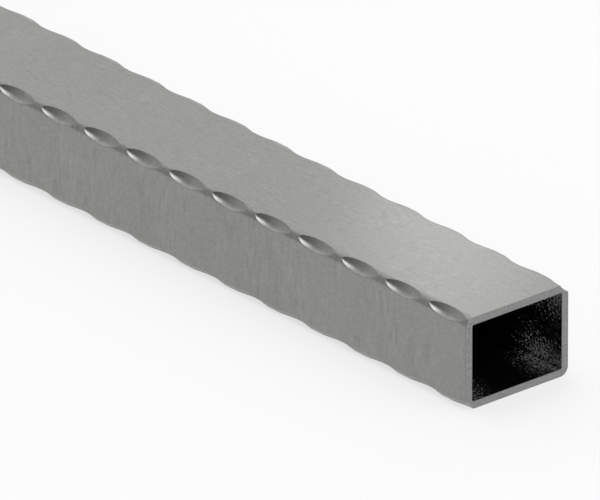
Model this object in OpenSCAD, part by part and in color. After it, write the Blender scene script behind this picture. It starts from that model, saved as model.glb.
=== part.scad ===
// Hammered-edge rectangular steel tube, one cut length of stock.
// The length runs along X, the width along Y and the height along Z.
// The origin is at the middle of the underside, and the tube lies flat on its wide side.

/* [Tube] */
// Length of the piece as it is cut
tube_length = 1000; // [100:20:3000]
// Width over the two upright sides
outer_width = 40; // [30:1:100]
// Height over the top and the underside
outer_height = 30; // [25:1:80]
// Wall thickness
wall = 2.5; // [2:0.1:4]
// Radius of the four outer corners
outer_radius = 3; // [2:0.1:4]
// Radius of the four inner corners
inner_radius = 0.5; // [0.2:0.1:2]

/* [Hammered edges] */
// Distance between two hammer marks on the same edge
dimple_pitch = 20; // [18:1:60]
// Length of one hammer mark along the rounded edge
dimple_length = 16; // [8:0.5:17]
// How far a hammer mark runs past the rounded corner onto each of its two faces
dimple_margin = 0.1; // [0.05:0.05:0.2]
// Radius of the hammer face across the edge, which leaves each mark slightly hollow
hammer_crown = 6.5; // [5:0.5:60]
// How far two of the edges are shifted against the other two, as a share of the pitch
dimple_stagger = 0.5; // [0:0.05:1]

/* [Hidden] */
$fn = 180;

inner_width = outer_width - 2 * wall;
inner_height = outer_height - 2 * wall;

// How far a mark runs in from the sharp corner on each face
dimple_reach = outer_radius + dimple_margin;
// Half width of a mark, square to the diagonal of the corner
mark_half_width = dimple_reach / sqrt(2);
// Hollow of a mark across the edge, from its chord and the radius of the hammer face
mark_hollow = hammer_crown - sqrt(hammer_crown * hammer_crown - mark_half_width * mark_half_width);
// Depth of a mark below the sharp corner, measured down the diagonal
mark_depth = mark_half_width + mark_hollow;
// Depth of the rounded corner below the sharp one, on the same diagonal
round_depth = outer_radius * (sqrt(2) - 1);
// Depth of a mark below the rounded corner
sink = mark_depth - round_depth;
// Radius of the hammer face along the edge, from the chord and the depth of the mark
hammer_sweep = (dimple_length * dimple_length / 4 + sink * sink) / (2 * sink);

// The cutting piece is the part of the hammer face that the mark needs, and a little more
cutter_margin = 0.5;
cutter_half_width = mark_half_width + cutter_margin;
cutter_thickness = sink + 2 * cutter_margin;
cutter_half_angle = asin((dimple_length / 2 + cutter_margin) / hammer_sweep);

// Marks in a row, enough to pass both ends
marks = ceil(tube_length / dimple_pitch) + 1;

// The four edges: side along Y, side along Z, and shift of the marks as a share of the pitch
edges = [
    [-1, 1, dimple_stagger],
    [1, -1, dimple_stagger],
    [1, 1, 0],
    [-1, -1, 0],
];

module rounded_bar(length, width, height, radius) {
    rotate([90, 0, 90])
        linear_extrude(height = length)
            union() {
                square([width - 2 * radius, height], center = true);
                square([width, height - 2 * radius], center = true);
                for (y = [-1, 1], z = [-1, 1])
                    translate([y * (width / 2 - radius), z * (height / 2 - radius)])
                        circle(r = radius);
            }
}

// Part of the crowned hammer face. Its deepest point is the origin, and it works towards -Z.
module hammer_face() {
    translate([0, 0, hammer_sweep])
        rotate([90, 90 + cutter_half_angle, 0])
            rotate_extrude(angle = 2 * cutter_half_angle)
                intersection() {
                    translate([hammer_sweep - hammer_crown, 0])
                        circle(r = hammer_crown);
                    translate([hammer_sweep - cutter_thickness, -cutter_half_width])
                        square([2 * cutter_thickness, 2 * cutter_half_width]);
                }
}

// The row of marks on one edge, struck square to the diagonal of that corner
module edge_marks(side_y, side_z, shift) {
    corner_turn = atan2(-side_y, side_z);
    for (i = [0 : marks]) {
        x = tube_length / 2 - (i + shift) * dimple_pitch;
        if (x > -tube_length / 2 - dimple_length / 2)
            translate([x, side_y * outer_width / 2, side_z * outer_height / 2])
                rotate([corner_turn, 0, 0])
                    translate([0, 0, -mark_depth])
                        hammer_face();
    }
}

module rectangular_tube() {
    color("darkgray")
        translate([0, 0, outer_height / 2])
            difference() {
                translate([-tube_length / 2, 0, 0])
                    rounded_bar(tube_length, outer_width, outer_height, outer_radius);
                translate([-tube_length / 2 - wall, 0, 0])
                    rounded_bar(tube_length + 2 * wall, inner_width, inner_height, inner_radius);
                for (edge = edges)
                    edge_marks(edge[0], edge[1], edge[2]);
            }
}

rectangular_tube();
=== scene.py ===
"""Hammered-edge rectangular steel tube on a pale studio floor."""
import math

import bpy
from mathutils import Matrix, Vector


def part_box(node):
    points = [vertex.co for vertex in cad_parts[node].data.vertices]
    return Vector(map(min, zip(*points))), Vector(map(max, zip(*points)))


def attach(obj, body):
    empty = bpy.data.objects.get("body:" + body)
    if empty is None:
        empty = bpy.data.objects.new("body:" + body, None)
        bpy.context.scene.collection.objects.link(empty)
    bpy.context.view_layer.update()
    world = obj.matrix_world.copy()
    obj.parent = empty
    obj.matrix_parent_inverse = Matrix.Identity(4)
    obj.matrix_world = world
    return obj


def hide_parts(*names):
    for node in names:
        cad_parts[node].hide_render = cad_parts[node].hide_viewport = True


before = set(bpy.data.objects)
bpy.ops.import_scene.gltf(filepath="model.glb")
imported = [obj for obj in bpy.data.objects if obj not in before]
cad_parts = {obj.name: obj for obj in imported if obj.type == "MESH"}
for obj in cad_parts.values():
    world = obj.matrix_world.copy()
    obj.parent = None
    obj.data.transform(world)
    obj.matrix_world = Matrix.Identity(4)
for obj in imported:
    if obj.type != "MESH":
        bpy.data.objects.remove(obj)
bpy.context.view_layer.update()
mm = 0.001

# View of the tube
# The open end points to the lower right and the far end leaves the picture at the upper left.
# The lens is very long, because the tube is drawn almost without perspective.
tube_low, tube_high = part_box("rectangular_tube")
view_azimuth = math.radians(49.79)
view_elevation = math.radians(25.22)
view_centre_from_end = 76.14 * mm
view_centre_below_top = 4.39 * mm
picture_width = 178.8 * mm
lens = 1400.0
nearest_drawn = 0.1
farthest_drawn = 100.0

camera_data = bpy.data.cameras.new("view")
camera_data.lens = lens
camera_data.clip_start = nearest_drawn
camera_data.clip_end = farthest_drawn
camera = bpy.data.objects.new("view", camera_data)
bpy.context.collection.objects.link(camera)
view_centre = Vector((tube_high.x - view_centre_from_end, tube_low.y, tube_high.z - view_centre_below_top))
towards_camera = Vector((
    math.sin(view_azimuth) * math.cos(view_elevation),
    -math.cos(view_azimuth) * math.cos(view_elevation),
    math.sin(view_elevation),
))
camera.location = view_centre + towards_camera * (picture_width * lens / camera_data.sensor_width)
camera.rotation_euler = towards_camera.to_track_quat("Z", "Y").to_euler()
bpy.context.scene.camera = camera

# Tube
# One length of welded steel tube with rounded corners. A crowned hammer roll has struck each
# corner at a steady pitch, square to the corner's diagonal, and both ends are sawn square.
length = tube_high.x - tube_low.x
width = tube_high.y - tube_low.y
height = tube_high.z - tube_low.z
corner_radius = 3.0 * mm
bore_radius = 0.5 * mm
wall = 2.5 * mm
end_round = 0.2 * mm
mark_pitch = 20.0 * mm
mark_length = 16.0 * mm
# How far a mark runs in from the sharp corner, and the radius of the hammer face across the edge
mark_reach = 2.93 * mm
hammer_crown = 4.3 * mm
# Power that sets how a mark narrows to its tips, and what keeps it from narrowing to nothing
tip_taper = 0.27
least_tip = 0.001
# Rounding of the crease round a mark, and how far the strike is off the diagonal
soft_crease = 0.15 * mm
strike_offset = 0.25 * mm

mark_half_width = mark_reach / math.sqrt(2.0)
mark_hollow = hammer_crown - math.sqrt(hammer_crown ** 2 - mark_half_width ** 2)
mark_depth = mark_half_width + mark_hollow
round_depth = corner_radius * (math.sqrt(2.0) - 1.0)
sink = mark_depth - round_depth
# Radius of the hammer face along the edge, from the length and the depth of a mark
hammer_sweep = (mark_length ** 2 / 4.0 + sink ** 2) / (2.0 * sink)


def corner_depth(across):
    """Depth of the rounded corner below the sharp one, at a distance from its diagonal."""
    if abs(across) < corner_radius / math.sqrt(2.0):
        return corner_radius * math.sqrt(2.0) - math.sqrt(corner_radius ** 2 - across ** 2)
    return abs(across)


def hammer_depth(across, along):
    """Depth of the hammer face below the sharp corner. The face narrows to the tips of a mark."""
    taper = max(1.0 - (2.0 * along / mark_length) ** 2, least_tip) ** tip_taper
    reach = hammer_sweep - hammer_crown + math.sqrt(max(hammer_crown ** 2 - (across / taper) ** 2, 0.0))
    return mark_depth - hammer_sweep + math.sqrt(reach ** 2 - along ** 2)


def edge_depth(across, along):
    """The deeper of the two, with the crease between them rounded over. The hammer strikes a
    little to the wide face's side of the diagonal, where across is above nought."""
    corner = corner_depth(across)
    hammer = hammer_depth(across - strike_offset, along)
    blend = max(soft_crease - abs(corner - hammer), 0.0) ** 2 / (4.0 * soft_crease)
    return max(corner, hammer) + blend


def crease(along, side, halvings=30):
    """Width of the mark to one side of its middle line, found by halving."""
    low, high = 0.0, mark_half_width + strike_offset
    for _ in range(halvings):
        middle = (low + high) / 2.0
        if hammer_depth(middle, along) > corner_depth(strike_offset + side * middle):
            low = middle
        else:
            high = middle
    return low


# Places of the points along an edge: close together at the tips of a mark, and apart on the land.
tip_steps = 8
land_steps = (0.3 * mm, 0.8 * mm)
half_pitch_stations = [
    math.sin(math.pi / 2.0 * step / tip_steps) * mark_length / 2.0 for step in range(tip_steps + 1)]
half_pitch_stations += [mark_length / 2.0 + step for step in land_steps]
mark_stations = {-station for station in half_pitch_stations} | set(half_pitch_stations)
mark_stations.add(mark_pitch / 2.0)

# Places of the points across an edge: shares of the mark's half width, closest at its crease, and
# then of what is left beside it. The lane that a mark takes keeps a least width past its tips.
inside_shares = (0.0, 0.4, 0.75, 0.93, 1.0)
outside_shares = (0.2, 0.4, 0.6, 0.8, 1.0)
narrowest_lane = 0.45 * mm
strip_margin = 0.8 * mm
strip_half_width = mark_half_width + strip_margin


def across_lines(along):
    """Places of the points across an edge, from the narrow face to the wide one."""
    halves = []
    for side in (-1, 1):
        lane = max(crease(along, side) if abs(along) < mark_length / 2.0 else 0.0, narrowest_lane)
        half = [lane * share for share in inside_shares]
        half += [lane + (strip_half_width - lane) * share for share in outside_shares]
        halves.append([strike_offset + side * across for across in half])
    return halves[0][:0:-1] + halves[1]


slope_step = 0.005 * mm


def edge_slope(across, along, step_across, step_along):
    """Slope of an edge's surface in one direction, from its depth a small step to each side."""
    after = edge_depth(across + step_across, along + step_along)
    before = edge_depth(across - step_across, along - step_along)
    return (after - before) / (2.0 * slope_step)


profiles = {}


def edge_profile(along, wide_side):
    """Points and slopes across an edge, kept because every mark is alike. They run from the narrow
    face to the wide one if wide_side is 1, and the other way if it is -1."""
    key = round(along / mm, 6)
    if key not in profiles:
        rows = []
        for across in across_lines(along):
            slope_across = edge_slope(across, along, slope_step, 0.0)
            slope_along = edge_slope(across, along, 0.0, slope_step)
            rows.append((across, edge_depth(across, along), slope_across, slope_along))
        profiles[key] = rows
    if wide_side > 0:
        return profiles[key]
    return [
        (-across, depth, -slope_across, slope_along)
        for across, depth, slope_across, slope_along in reversed(profiles[key])]


def distance_from_mark(x, shift):
    """Signed distance from the nearest mark of a row that starts at the open end."""
    steps = (tube_high.x - x) / mark_pitch - shift
    return -(steps - round(steps)) * mark_pitch


# Rows of points that would lie nearer than this to the row at a rounded rim are left out.
least_step = 0.1 * mm


def edge_stations(shift):
    """Places along the tube where an edge has a row of points, from one rounded rim to the other.
    They are rounded off, so that a place which two marks share counts once."""
    first, last = tube_low.x + end_round, tube_high.x - end_round
    places = set()
    for mark in range(-1, int(round(length / mark_pitch)) + 2):
        middle = tube_high.x - (mark + shift) * mark_pitch
        places.update(round(middle + station, 8) for station in mark_stations)
    inner = sorted(x for x in places if first + least_step < x < last - least_step)
    return [first] + inner + [last]


points, normals = [], []


def add_point(place, normal):
    """A new point of the mesh, by its number."""
    points.append(place)
    normals.append(Vector(normal).normalized())
    return len(points) - 1


# The corners in order round the section, with the shift of their marks as a share of the pitch.
corners = ((1, 1, 0.0), (-1, 1, 0.5), (-1, -1, 0.0), (1, -1, 0.5))
# The rounded rims of the sawn ends turn over in two steps.
rim_turns = (math.radians(45.0), math.radians(90.0))


def corner_frame(side_y, side_z):
    """A corner's sharp point at mid length, its diagonal outwards, and the way round the section."""
    sharp = Vector((0.0, side_y * width / 2.0, tube_low.z + height / 2.0 + side_z * height / 2.0))
    outwards = Vector((0.0, side_y, side_z)) / math.sqrt(2.0)
    round_section = Vector((0.0, -side_z, side_y)) / math.sqrt(2.0)
    return sharp, outwards, round_section


def edge_row(side_y, side_z, shift, x, turn=0.0, end=0):
    """One row of points across an edge. At the open end, where end is 1, and at the other, where
    it is -1, the row turns over the rounded rim."""
    sharp, outwards, sideways = corner_frame(side_y, side_z)
    row = []
    profile = edge_profile(distance_from_mark(x, shift), side_y * side_z)
    for across, depth, slope_across, slope_along in profile:
        place = sharp + sideways * across - outwards * depth + Vector((x, 0.0, 0.0))
        flat_normal = (outwards + sideways * slope_across).normalized()
        if end:
            place -= flat_normal * end_round * (1.0 - math.cos(turn))
            place.x += end * end_round * math.sin(turn)
            normal = flat_normal * math.cos(turn) + Vector((end * math.sin(turn), 0.0, 0.0))
        else:
            normal = outwards + sideways * slope_across + Vector((slope_along, 0.0, 0.0))
        row.append(add_point(place, normal))
    return row


edges = []
for side_y, side_z, shift in corners:
    stations = edge_stations(shift)
    rows = [edge_row(side_y, side_z, shift, stations[0], turn, -1) for turn in reversed(rim_turns)]
    rows += [edge_row(side_y, side_z, shift, x) for x in stations]
    rows += [edge_row(side_y, side_z, shift, stations[-1], turn, 1) for turn in rim_turns]
    edges.append(rows)

# The bore has as many points round it as the outside, so that the sawn ends close one to one.
bore_stretches = 40
bore_half_width = width / 2.0 - wall
bore_half_height = height / 2.0 - wall
bore_first, bore_last = tube_low.x + end_round, tube_high.x - end_round


def bore_row(side_y, side_z, x, turn=0.0, end=0):
    """One row of points round an inner corner. At an end it flares over the rounded rim."""
    centre = Vector((
        x,
        side_y * (bore_half_width - bore_radius),
        tube_low.z + height / 2.0 + side_z * (bore_half_height - bore_radius),
    ))
    _, outwards, sideways = corner_frame(side_y, side_z)
    steps = len(inside_shares) + len(outside_shares) - 1
    row = []
    for step in range(-steps, steps + 1):
        angle = math.radians(45.0) * step / steps
        away = outwards * math.cos(angle) + sideways * math.sin(angle)
        place = centre + away * (bore_radius + end_round * (1.0 - math.cos(turn)))
        place.x += end * end_round * math.sin(turn)
        normal = -away * math.cos(turn) + Vector((end * math.sin(turn), 0.0, 0.0))
        row.append(add_point(place, normal))
    return row


bore_stations = [
    bore_first + (bore_last - bore_first) * step / bore_stretches for step in range(bore_stretches + 1)]
bore_corners = []
for side_y, side_z, _ in corners:
    rows = [bore_row(side_y, side_z, bore_first, turn, -1) for turn in reversed(rim_turns)]
    rows += [bore_row(side_y, side_z, x) for x in bore_stations]
    rows += [bore_row(side_y, side_z, bore_last, turn, 1) for turn in rim_turns]
    bore_corners.append(rows)

# Each face has a slot for its finish. The rounded rims belong to the saw cut.
OUTSIDE, SAWN, BORE = 0, 1, 2
faces, face_slots = [], []
rim = len(rim_turns)


def add_face(corners_of_face, slot):
    faces.append(corners_of_face)
    face_slots.append(slot)


def slot_along(index, count, slot):
    """The slot of the faces at one place along the tube, by its number out of a count."""
    return SAWN if index < rim or index >= count - rim else slot


def close_corner(rows, slot, inwards=False):
    """Faces between the neighbouring rows of one corner."""
    for index, (before, after) in enumerate(zip(rows, rows[1:])):
        for i in range(len(before) - 1):
            quad = (before[i], after[i], after[i + 1], before[i + 1])
            add_face(quad if inwards else quad[::-1], slot_along(index, len(rows) - 1, slot))


def close_between(rows, next_rows, slot, inwards=False):
    """Faces between the last points of one corner's rows and the first points of the next one's."""
    left = [row[-1] for row in rows]
    right = [row[0] for row in next_rows]
    for index in range(len(rows) - 1):
        quad = (left[index], left[index + 1], right[index + 1], right[index])
        add_face(quad if inwards else quad[::-1], slot_along(index, len(rows) - 1, slot))


for rows, bore_rows in zip(edges, bore_corners):
    close_corner(rows, OUTSIDE)
    close_corner(bore_rows, BORE, inwards=True)

# Each flat lies between the last points of one edge and the first points of the next, in pieces
# two pitches long. It stops at the rounded rims, which are closed row by row.
flat_pieces = int(round(length / (2.0 * mark_pitch)))
rounding_slack = 1e-7


def last_before(line, start, limit):
    """The last point of a line that lies before a limit along the tube, by its place in the line."""
    place = start
    while place < len(line) - 1 and points[line[place + 1]].x < limit:
        place += 1
    return place


for index, rows in enumerate(edges):
    next_rows = edges[(index + 1) % len(edges)]
    close_between(rows[:rim + 1], next_rows[:rim + 1], SAWN)
    close_between(rows[-rim - 1:], next_rows[-rim - 1:], SAWN)
    left = [row[-1] for row in rows[rim:-rim]]
    right = [row[0] for row in next_rows[rim:-rim]]
    left_from = right_from = 0
    for piece in range(1, flat_pieces + 1):
        limit = tube_low.x + length * piece / flat_pieces + rounding_slack
        left_to = last_before(left, left_from, limit)
        right_to = last_before(right, right_from, limit)
        add_face(tuple(right[right_from:right_to + 1] + left[left_from:left_to + 1][::-1]), OUTSIDE)
        left_from, right_from = left_to, right_to

for index, bore_rows in enumerate(bore_corners):
    close_between(bore_rows, bore_corners[(index + 1) % len(bore_corners)], BORE, inwards=True)

# The sawn ends are rings between the outside and the bore.
for end in (0, -1):
    outer = [point for rows in edges for point in rows[end]]
    inner = [point for rows in bore_corners for point in rows[end]]
    for i in range(len(outer)):
        j = (i + 1) % len(outer)
        quad = (outer[i], outer[j], inner[j], inner[i])
        add_face(quad if end else quad[::-1], SAWN)

tube_mesh = bpy.data.meshes.new("hammered_tube")
tube_mesh.from_pydata([tuple(point) for point in points], [], faces)
tube_mesh.polygons.foreach_set("material_index", face_slots)
tube_mesh.polygons.foreach_set("use_smooth", [True] * len(faces))
tube_mesh.update()
tube_mesh.normals_split_custom_set_from_vertices([tuple(normal) for normal in normals])
tube = bpy.data.objects.new("hammered_tube", tube_mesh)
bpy.context.collection.objects.link(tube)


def new_group(name, inputs, outputs):
    """An empty node group with named sockets, and its input and output nodes."""
    group = bpy.data.node_groups.new(name, "ShaderNodeTree")
    for label, kind, value in inputs:
        socket = group.interface.new_socket(label, in_out="INPUT", socket_type=kind)
        socket.default_value = value
    for label, kind in outputs:
        group.interface.new_socket(label, in_out="OUTPUT", socket_type=kind)
    return group, group.nodes.new("NodeGroupInput"), group.nodes.new("NodeGroupOutput")


def math_node(tree, operation, first, second=0.0, third=0.0, clamp=False):
    """A Math node whose inputs are sockets or plain numbers. It returns its output socket."""
    node = tree.nodes.new("ShaderNodeMath")
    node.operation = operation
    node.use_clamp = clamp
    for socket, value in zip(node.inputs, (first, second, third)):
        if isinstance(value, (int, float)):
            socket.default_value = value
        else:
            tree.links.new(value, socket)
    return node.outputs[0]


def group_noise(group, group_input, size, detail=2.0, roughness=0.5):
    """Noise at a group's Position, with lumps of the size that one of its inputs gives."""
    divide = group.nodes.new("ShaderNodeVectorMath")
    divide.operation = "DIVIDE"
    group.links.new(group_input.outputs["Position"], divide.inputs[0])
    group.links.new(group_input.outputs[size], divide.inputs[1])
    noise = group.nodes.new("ShaderNodeTexNoise")
    noise.inputs["Scale"].default_value = 1.0
    noise.inputs["Detail"].default_value = detail
    noise.inputs["Roughness"].default_value = roughness
    group.links.new(divide.outputs[0], noise.inputs["Vector"])
    return noise.outputs["Fac"]


noise_middle = 0.5

# Grain that lies in one direction: lines of one pitch and length, which come and go in patches.
patch_threshold = 0.45
patch_contrast = 6.0
grain_group, grain_in, grain_out = new_group(
    "directional_grain",
    (("Position", "NodeSocketVector", (0.0, 0.0, 0.0)),
     ("Grain size", "NodeSocketVector", (1.0, 1.0, 1.0)),
     ("Patch size", "NodeSocketVector", (10.0, 10.0, 10.0)),
     ("Evenness", "NodeSocketFloat", 0.4)),
    (("Grain", "NodeSocketFloat"),))
lines = group_noise(grain_group, grain_in, "Grain size", detail=3.0, roughness=0.6)
patches = group_noise(grain_group, grain_in, "Patch size", detail=1.0)
patches = math_node(grain_group, "SUBTRACT", patches, patch_threshold)
strength = math_node(
    grain_group, "MULTIPLY_ADD", patches, patch_contrast, grain_in.outputs["Evenness"], clamp=True)
swing = math_node(grain_group, "SUBTRACT", lines, noise_middle)
swing = math_node(grain_group, "MULTIPLY", swing, strength)
grain_group.links.new(swing, grain_out.inputs["Grain"])

# Tone of bare metal: fine grain, small mottling and wide clouds added up around 1.
tone_group, tone_in, tone_out = new_group(
    "metal_tone",
    (("Position", "NodeSocketVector", (0.0, 0.0, 0.0)),
     ("Grain", "NodeSocketFloat", 0.0),
     ("Grain amount", "NodeSocketFloat", 0.2),
     ("Mottle size", "NodeSocketVector", (2.5, 2.5, 2.5)),
     ("Mottle amount", "NodeSocketFloat", 0.2),
     ("Cloud size", "NodeSocketVector", (30.0, 30.0, 30.0)),
     ("Cloud amount", "NodeSocketFloat", 0.2)),
    (("Tone", "NodeSocketFloat"), ("Mottle", "NodeSocketFloat")))
mottle = group_noise(tone_group, tone_in, "Mottle size")
clouds = group_noise(tone_group, tone_in, "Cloud size")
tone = math_node(tone_group, "MULTIPLY_ADD", tone_in.outputs["Grain"], tone_in.outputs["Grain amount"], 1.0)
for noise, amount in ((mottle, "Mottle amount"), (clouds, "Cloud amount")):
    swing = math_node(tone_group, "SUBTRACT", noise, noise_middle)
    tone = math_node(tone_group, "MULTIPLY_ADD", swing, tone_in.outputs[amount], tone)
tone_group.links.new(tone, tone_out.inputs["Tone"])
tone_group.links.new(mottle, tone_out.inputs["Mottle"])

# Place on the tube in millimetres: the depth in from the nearer end, and the distances from the
# middle of the section to the side and up or down.
place_group, place_in, place_out = new_group(
    "place_on_tube",
    (("Position", "NodeSocketVector", (0.0, 0.0, 0.0)),),
    (("Depth in", "NodeSocketFloat"), ("Sideways", "NodeSocketFloat"), ("Upwards", "NodeSocketFloat")))
half_length_mm = length / 2.0 / mm
half_width_mm = width / 2.0 / mm
half_height_mm = height / 2.0 / mm
wall_mm = wall / mm
axes = place_group.nodes.new("ShaderNodeSeparateXYZ")
place_group.links.new(place_in.outputs["Position"], axes.inputs[0])
lengthways = math_node(place_group, "ABSOLUTE", axes.outputs["X"])
depth_in = math_node(place_group, "SUBTRACT", half_length_mm, lengthways)
sideways = math_node(place_group, "ABSOLUTE", axes.outputs["Y"])
level = math_node(place_group, "SUBTRACT", axes.outputs["Z"], half_height_mm)
upwards = math_node(place_group, "ABSOLUTE", level)
for value, label in ((depth_in, "Depth in"), (sideways, "Sideways"), (upwards, "Upwards")):
    place_group.links.new(value, place_out.inputs[label])

# Mask that is one where a distance is below a limit, and falls to nought over the fade past it.
near_group, near_in, near_out = new_group(
    "near_mask",
    (("Distance", "NodeSocketFloat", 0.0),
     ("Limit", "NodeSocketFloat", 1.0),
     ("Fade", "NodeSocketFloat", 1.0)),
    (("Mask", "NodeSocketFloat"),))
over = math_node(near_group, "ABSOLUTE", near_in.outputs["Distance"])
over = math_node(near_group, "SUBTRACT", over, near_in.outputs["Limit"])
fallen = math_node(near_group, "DIVIDE", over, near_in.outputs["Fade"], clamp=True)
near_group.links.new(math_node(near_group, "SUBTRACT", 1.0, fallen), near_out.inputs["Mask"])


def group_node(tree, group, **values):
    """A placed group, with plain values or links on its named inputs. An underscore in a name
    stands for a space."""
    node = tree.nodes.new("ShaderNodeGroup")
    node.node_tree = group
    for label, value in values.items():
        socket = node.inputs[label.replace("_", " ")]
        if isinstance(value, bpy.types.NodeSocket):
            tree.links.new(value, socket)
        else:
            socket.default_value = value
    return node


def near_mask(tree, distance, limit, fade):
    """A placed mask of the places whose distance from something is below a limit."""
    return group_node(tree, near_group, Distance=distance, Limit=limit, Fade=fade).outputs["Mask"]


def position_in_mm(tree):
    """The place on the tube in millimetres, the same at every pose."""
    place = tree.nodes.new("ShaderNodeTexCoord")
    scaled = tree.nodes.new("ShaderNodeVectorMath")
    scaled.operation = "SCALE"
    scaled.inputs["Scale"].default_value = 1.0 / mm
    tree.links.new(place.outputs["Object"], scaled.inputs[0])
    return scaled.outputs[0]


def tinted(tree, colour, tone):
    """A colour made lighter or darker by a tone around 1."""
    node = tree.nodes.new("ShaderNodeVectorMath")
    node.operation = "SCALE"
    node.inputs[0].default_value = colour
    tree.links.new(tone, node.inputs["Scale"])
    return node.outputs[0]


def bump(tree, shader, height, distance):
    """Relief on a surface, as deep as the distance where the height is 1."""
    node = tree.nodes.new("ShaderNodeBump")
    node.inputs["Distance"].default_value = distance
    tree.links.new(height, node.inputs["Height"])
    tree.links.new(node.outputs["Normal"], shader.inputs["Normal"])


def new_finish(name, metallic):
    """A material, its node tree and its shader."""
    material = bpy.data.materials.new(name)
    material.use_nodes = True
    shader = material.node_tree.nodes["Principled BSDF"]
    shader.inputs["Metallic"].default_value = metallic
    return material, material.node_tree, shader


# Rolled outside: grey and a little warm. The wide faces are marked along the length by the rolls,
# and the narrow faces across it. The narrow faces are darker in a thin line along their ends.
# Sizes that the nodes use are in millimetres.
steel_colour = (0.261, 0.2585, 0.249)
steel_roughness = 0.265
steel_roughness_swing = 0.06
steel_relief = 0.0015 * mm
face_change_per_mm = 0.3
end_line_width = 0.35
end_line_fade = 0.2
end_line_darkness = 0.55

steel, tree, shader = new_finish("bare_steel", metallic=1.0)
place = position_in_mm(tree)
where = group_node(tree, place_group, Position=place)
past_side = math_node(tree, "SUBTRACT", where.outputs["Sideways"], half_width_mm)
past_top = math_node(tree, "SUBTRACT", where.outputs["Upwards"], half_height_mm)
face_turn = math_node(tree, "SUBTRACT", past_side, past_top)
narrow_face = math_node(tree, "MULTIPLY_ADD", face_turn, face_change_per_mm, 0.5, clamp=True)
wide_face = math_node(tree, "SUBTRACT", 1.0, narrow_face)
across_grain = group_node(
    tree, grain_group, Position=place,
    Grain_size=(1.3, 6.0, 7.0), Patch_size=(7.0, 12.0, 12.0), Evenness=0.22)
along_grain = group_node(
    tree, grain_group, Position=place,
    Grain_size=(3.2, 0.9, 0.9), Patch_size=(14.0, 8.0, 8.0), Evenness=0.3)
grain = math_node(tree, "MULTIPLY", along_grain.outputs["Grain"], wide_face)
grain = math_node(tree, "MULTIPLY_ADD", across_grain.outputs["Grain"], narrow_face, grain)
tone = group_node(
    tree, tone_group, Position=place, Grain=grain, Grain_amount=0.52,
    Mottle_size=(1.1, 1.1, 1.1), Mottle_amount=0.38, Cloud_size=(14.0, 60.0, 60.0), Cloud_amount=0.12)
end_line = near_mask(tree, where.outputs["Depth in"], end_line_width, end_line_fade)
end_line = math_node(tree, "MULTIPLY", end_line, narrow_face)
end_line = math_node(tree, "MULTIPLY", end_line, tone.outputs["Mottle"])
steel_tone = math_node(tree, "MULTIPLY_ADD", end_line, -end_line_darkness, tone.outputs["Tone"])
tree.links.new(tinted(tree, steel_colour, steel_tone), shader.inputs["Base Color"])
roughness = math_node(tree, "MULTIPLY_ADD", tone.outputs["Mottle"], steel_roughness_swing, steel_roughness)
tree.links.new(roughness, shader.inputs["Roughness"])
bump(tree, shader, math_node(tree, "ADD", grain, tone.outputs["Mottle"]), steel_relief)

# Sawn ends: the same metal, dull and finely scored by the saw.
sawn_colour = (0.268, 0.267, 0.265)
sawn_roughness = 0.4
sawn_roughness_swing = 0.2
sawn_relief = 0.01 * mm

sawn, tree, shader = new_finish("sawn_steel", metallic=1.0)
place = position_in_mm(tree)
grain = group_node(
    tree, grain_group, Position=place,
    Grain_size=(4.0, 8.0, 0.35), Patch_size=(6.0, 6.0, 6.0), Evenness=0.6)
tone = group_node(
    tree, tone_group, Position=place, Grain=grain.outputs["Grain"], Grain_amount=0.8,
    Mottle_size=(0.8, 0.8, 0.8), Mottle_amount=0.8, Cloud_size=(9.0, 9.0, 9.0), Cloud_amount=0.1)
tree.links.new(tinted(tree, sawn_colour, tone.outputs["Tone"]), shader.inputs["Base Color"])
roughness = math_node(tree, "MULTIPLY_ADD", tone.outputs["Mottle"], sawn_roughness_swing, sawn_roughness)
tree.links.new(roughness, shader.inputs["Roughness"])
bump(tree, shader, grain.outputs["Grain"], sawn_relief)

# Bore: black rolling scale, darkened further as painted shade of the deep inside. Specks of bare metal
# carry painted light: they lie thickest along the corners near each open end, where light comes in,
# and a painted shade line keeps the corner itself black.
painted_light_speck_colour = (0.2, 0.198, 0.195)
# Painted shade: the scale's black is darkened further to stand for the deep shade inside the bore.
scale_and_shade_tone = 0.003
scale_relief = 0.1 * mm
side_weight = 1.1
corner_band = 1.5
corner_fade = 16.0
end_band = 12.0
end_fade = 16.0
corner_line_width = 0.2
corner_line_fade = 0.4
cover_amount = 0.75
speck_contrast = 4.0
speck_threshold = 1.575
speck_painted_light_at_end = 0.55
speck_painted_light_per_mm = 0.075

scale, tree, shader = new_finish("bore_scale_and_shade", metallic=0.0)
shader.inputs["Specular IOR Level"].default_value = 0.05
shader.inputs["Roughness"].default_value = 0.7
place = position_in_mm(tree)
where = group_node(tree, place_group, Position=place)
depth_in = where.outputs["Depth in"]
from_side = math_node(tree, "SUBTRACT", half_width_mm - wall_mm, where.outputs["Sideways"])
from_flat = math_node(tree, "SUBTRACT", half_height_mm - wall_mm, where.outputs["Upwards"])
from_corner = math_node(tree, "MULTIPLY_ADD", from_side, side_weight, from_flat)
painted_light_near_corner = near_mask(tree, from_corner, corner_band, corner_fade)
painted_light_near_end = near_mask(tree, depth_in, end_band, end_fade)
# Painted shade: a thin black line along each inner corner.
painted_corner_shade = near_mask(tree, from_corner, corner_line_width, corner_line_fade)
grain = group_node(
    tree, grain_group, Position=place,
    Grain_size=(0.6, 0.6, 0.6), Patch_size=(4.0, 4.0, 4.0), Evenness=1.0)
tone = group_node(
    tree, tone_group, Position=place, Grain=grain.outputs["Grain"], Grain_amount=2.0,
    Mottle_size=(0.8, 0.8, 0.8), Mottle_amount=1.5, Cloud_size=(5.0, 5.0, 5.0), Cloud_amount=0.3)
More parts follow.
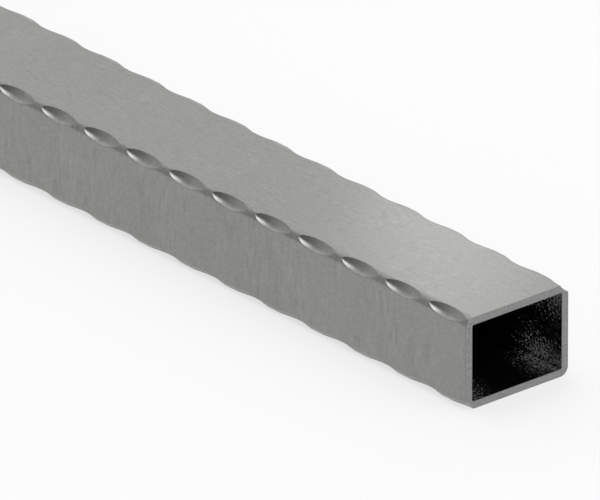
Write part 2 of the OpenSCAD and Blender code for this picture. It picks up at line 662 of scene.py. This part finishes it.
# Painted light: the specks show only along the corners near each open end, and their brightness rises going
# in from the mouth.
painted_light_cover = math_node(tree, "MULTIPLY", painted_light_near_corner, painted_light_near_end)
painted_light_specks = math_node(tree, "MULTIPLY_ADD", painted_light_cover, cover_amount, tone.outputs["Tone"])
painted_light_specks = math_node(
    tree, "MULTIPLY_ADD", painted_light_specks, speck_contrast, -speck_contrast * speck_threshold, clamp=True)
painted_light_specks = math_node(tree, "MULTIPLY", painted_light_specks, math_node(tree, "SUBTRACT", 1.0, painted_corner_shade))
speck_painted_light = math_node(tree, "MULTIPLY_ADD", depth_in, speck_painted_light_per_mm, speck_painted_light_at_end)
painted_light_specks = math_node(tree, "MULTIPLY_ADD", painted_light_specks, speck_painted_light, scale_and_shade_tone)
tree.links.new(tinted(tree, painted_light_speck_colour, painted_light_specks), shader.inputs["Base Color"])
bump(tree, shader, tone.outputs["Mottle"], scale_relief)

# The slots in the order of OUTSIDE, SAWN and BORE.
for material in (steel, sawn, scale):
    tube_mesh.materials.append(material)
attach(tube, "root")
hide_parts("rectangular_tube")

# Studio
# A wide pale floor in a grey room. Soft patches of light and a dark one are spread round the room,
# and one small lamp hangs near the open end.
floor_half = 60.0
floor_gap = 0.05 * mm
floor_mesh = bpy.data.meshes.new("floor")
floor_mesh.from_pydata(
    [(-floor_half, -floor_half, 0.0), (floor_half, -floor_half, 0.0),
     (floor_half, floor_half, 0.0), (-floor_half, floor_half, 0.0)],
    [], [(0, 1, 2, 3)])
floor = bpy.data.objects.new("floor", floor_mesh)
floor.location.z = tube_low.z - floor_gap
bpy.context.collection.objects.link(floor)
floor_paint = bpy.data.materials.new("floor_paint")
floor_paint.use_nodes = True
floor_tree = floor_paint.node_tree
floor_shader = floor_tree.nodes["Principled BSDF"]
floor_shader.inputs["Base Color"].default_value = (0.9, 0.9, 0.9, 1.0)
floor_shader.inputs["Roughness"].default_value = 0.9

# The floor is seen whiter than the light alone makes it, and whiter still where the metal mirrors
# it. Its shadow stays.
white_share = 0.65
mirrored_share = 0.2
glow = floor_tree.nodes.new("ShaderNodeEmission")
glow.inputs["Strength"].default_value = 1.0
rays = floor_tree.nodes.new("ShaderNodeLightPath")
seen = math_node(floor_tree, "MAXIMUM", rays.outputs["Is Camera Ray"], rays.outputs["Is Glossy Ray"])
seen = math_node(floor_tree, "MAXIMUM", seen, rays.outputs["Is Transmission Ray"])
share = math_node(floor_tree, "MULTIPLY", rays.outputs["Is Glossy Ray"], mirrored_share)
share = math_node(floor_tree, "MULTIPLY_ADD", seen, white_share, share)
floor_mix = floor_tree.nodes.new("ShaderNodeMixShader")
floor_tree.links.new(share, floor_mix.inputs["Fac"])
floor_tree.links.new(floor_shader.outputs["BSDF"], floor_mix.inputs[1])
floor_tree.links.new(glow.outputs["Emission"], floor_mix.inputs[2])
floor_tree.links.new(floor_mix.outputs["Shader"], floor_tree.nodes["Material Output"].inputs["Surface"])
floor_mesh.materials.append(floor_paint)

# Each patch of light has an azimuth and an elevation in degrees, a spread in radians and a strength.
room_tone = 0.26
lamps = (
    (124.0, 29.0, 0.23, 0.65),
    (159.0, 39.0, 0.26, 0.94),
    (203.0, 15.0, 0.40, 0.58),
    (198.0, 74.0, 0.15, 4.7),
    (136.0, 3.0, 0.20, 0.8),
    (10.0, 45.0, 0.45, 1.35),
    (335.0, 12.0, 0.35, 2.0),
)
black_flag = (264.0, 56.0, 0.26, 1.0)
world = bpy.data.worlds.new("studio")
bpy.context.scene.world = world
world.use_nodes = True
room = world.node_tree
direction = room.nodes.new("ShaderNodeTexCoord").outputs["Generated"]


def soft_patch(azimuth, elevation, spread, strength):
    """Brightness of a soft round patch of the room. Azimuth runs from +X towards +Y."""
    towards = Vector((
        math.cos(math.radians(azimuth)) * math.cos(math.radians(elevation)),
        math.sin(math.radians(azimuth)) * math.cos(math.radians(elevation)),
        math.sin(math.radians(elevation)),
    ))
    dot = room.nodes.new("ShaderNodeVectorMath")
    dot.operation = "DOT_PRODUCT"
    dot.inputs[1].default_value = towards
    room.links.new(direction, dot.inputs[0])
    away = math_node(room, "SUBTRACT", dot.outputs["Value"], 1.0)
    falloff = math_node(room, "EXPONENT", math_node(room, "DIVIDE", away, spread ** 2))
    return math_node(room, "MULTIPLY", falloff, strength)


unflagged = math_node(room, "SUBTRACT", 1.0, soft_patch(*black_flag))
light = math_node(room, "MULTIPLY", unflagged, room_tone)
for lamp in lamps:
    light = math_node(room, "ADD", light, soft_patch(*lamp))

# Below the horizon, past the floor's far edge, the room is as pale as the floor.
horizon_tone = 0.98
height_node = room.nodes.new("ShaderNodeSeparateXYZ")
room.links.new(direction, height_node.inputs[0])
below = math_node(room, "LESS_THAN", height_node.outputs["Z"], 0.0)
above = math_node(room, "SUBTRACT", 1.0, below)
light = math_node(room, "MULTIPLY_ADD", light, above, math_node(room, "MULTIPLY", below, horizon_tone))
room.links.new(light, room.nodes["Background"].inputs["Strength"])
room.nodes["Background"].inputs["Color"].default_value = (1.0, 1.0, 1.0, 1.0)

# The small lamp brightens the last of the top face. It hangs where that spot mirrors it to the
# view.
lit_spot_from_end = 44.0 * mm
lit_spot_from_middle = 14.0 * mm
lamp_distance = 265.0 * mm
lamp_width = 60.0 * mm
lamp_power = 0.0092
lamp_data = bpy.data.lights.new("end_lamp", "AREA")
lamp_data.shape = "DISK"
lamp_data.size = lamp_width
lamp_data.energy = lamp_power
end_lamp = bpy.data.objects.new("end_lamp", lamp_data)
lit_spot = Vector((tube_high.x - lit_spot_from_end, lit_spot_from_middle, tube_high.z))
mirror_line = Vector((-towards_camera.x, -towards_camera.y, towards_camera.z))
end_lamp.location = lit_spot + mirror_line * lamp_distance
end_lamp.rotation_euler = mirror_line.to_track_quat("Z", "Y").to_euler()
end_lamp.visible_camera = False
bpy.context.collection.objects.link(end_lamp)

bpy.context.scene.view_settings.view_transform = "Standard"
